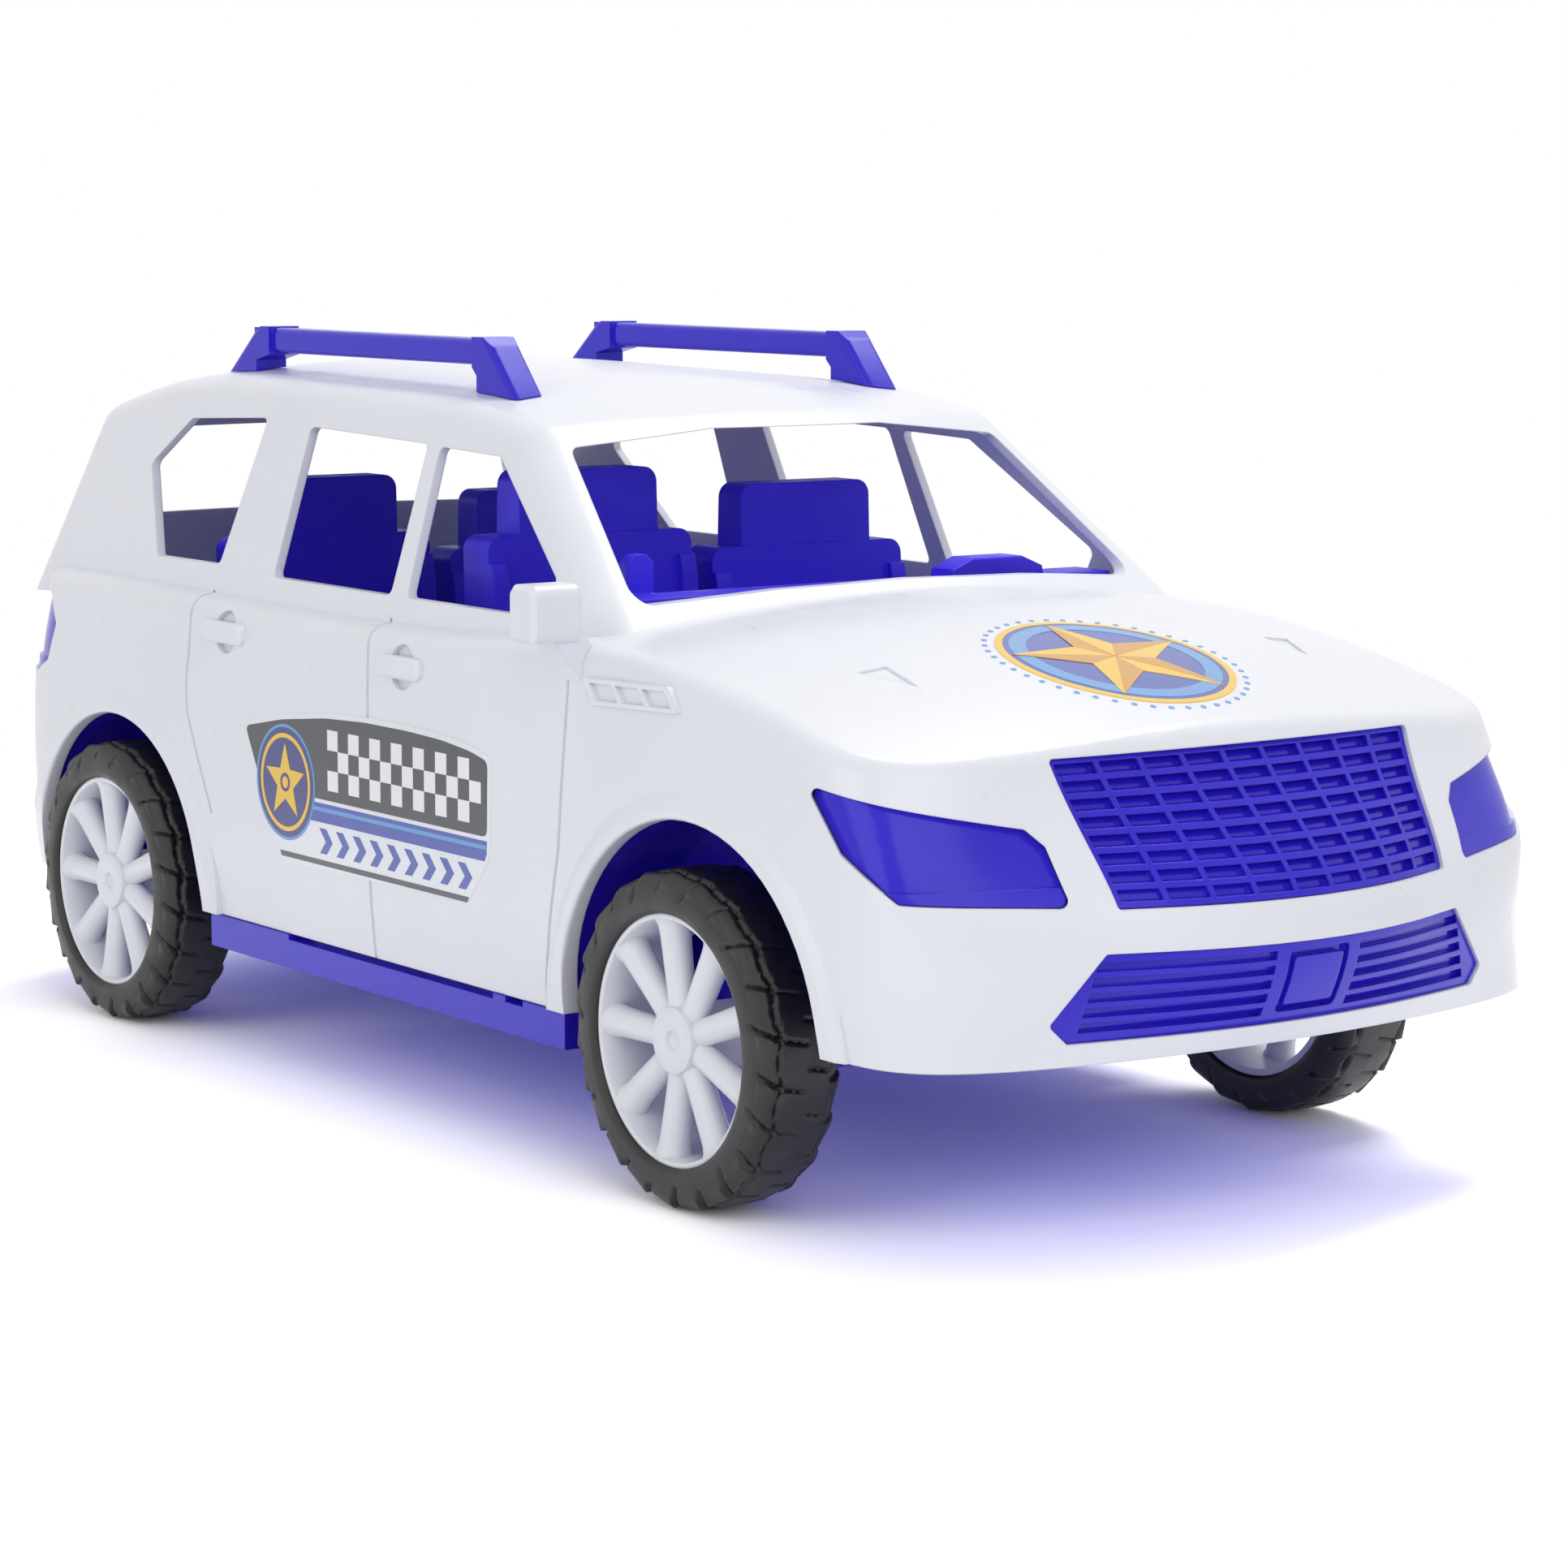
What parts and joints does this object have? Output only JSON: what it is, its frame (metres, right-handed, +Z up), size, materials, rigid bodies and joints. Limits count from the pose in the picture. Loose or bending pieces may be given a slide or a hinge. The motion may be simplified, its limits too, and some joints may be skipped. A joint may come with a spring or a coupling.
{
  "type": "toy patrol car",
  "caption": "Toy sport utility patrol car with a hollow moulded body, open windows, a blue chassis, seats and roof rails, rolling freely on its wheels.",
  "frame": {"origin": "on the floor that the tyres stand on, under the middle of the car's length and in the middle plane of its body; the one mirror, on the right, is left out of account", "axes": "+X forward along the car, +Y to the driver's side, +Z up"},
  "size_m": [0.361, 0.1626, 0.1481],
  "materials": {
    "white_plastic": "moulded white plastic, soft gloss",
    "blue_plastic": "moulded blue plastic, glossy",
    "rim_plastic": "moulded white plastic, satin",
    "tyre_rubber": "moulded black, matt tread",
    "axle_steel": "drawn steel wire"
  },
  "bodies": {
    "car": {"body_shell": "white_plastic", "chassis": "blue_plastic", "dashboard": "blue_plastic", "steering_wheel": "blue_plastic", "seat_front_left": "blue_plastic", "seat_front_right": "blue_plastic", "seat_rear_left": "blue_plastic", "seat_rear_right": "blue_plastic", "grille": "blue_plastic", "lower_grille": "blue_plastic", "headlamp_left": "blue_plastic", "headlamp_right": "blue_plastic", "tail_lamp_left": "blue_plastic", "tail_lamp_right": "blue_plastic", "roof_rail_left": "blue_plastic", "roof_rail_right": "blue_plastic"},
    "front_wheels": {"axle_front": "axle_steel", "rim_front_left": "rim_plastic", "tyre_front_left": "tyre_rubber", "rim_front_right": "rim_plastic", "tyre_front_right": "tyre_rubber"},
    "rear_wheels": {"axle_rear": "axle_steel", "rim_rear_left": "rim_plastic", "tyre_rear_left": "tyre_rubber", "rim_rear_right": "rim_plastic", "tyre_rear_right": "tyre_rubber"}
  },
  "joints": [
    {"name": "front_axle_spin", "type": "hinge", "parent": "car", "child": "front_wheels", "pos_m": [0.0972, 0, 0.03], "axis": [0, 1, 0], "continuous": true},
    {"name": "rear_axle_spin", "type": "hinge", "parent": "car", "child": "rear_wheels", "pos_m": [-0.1138, 0, 0.03], "axis": [0, 1, 0], "continuous": true}
  ]
}
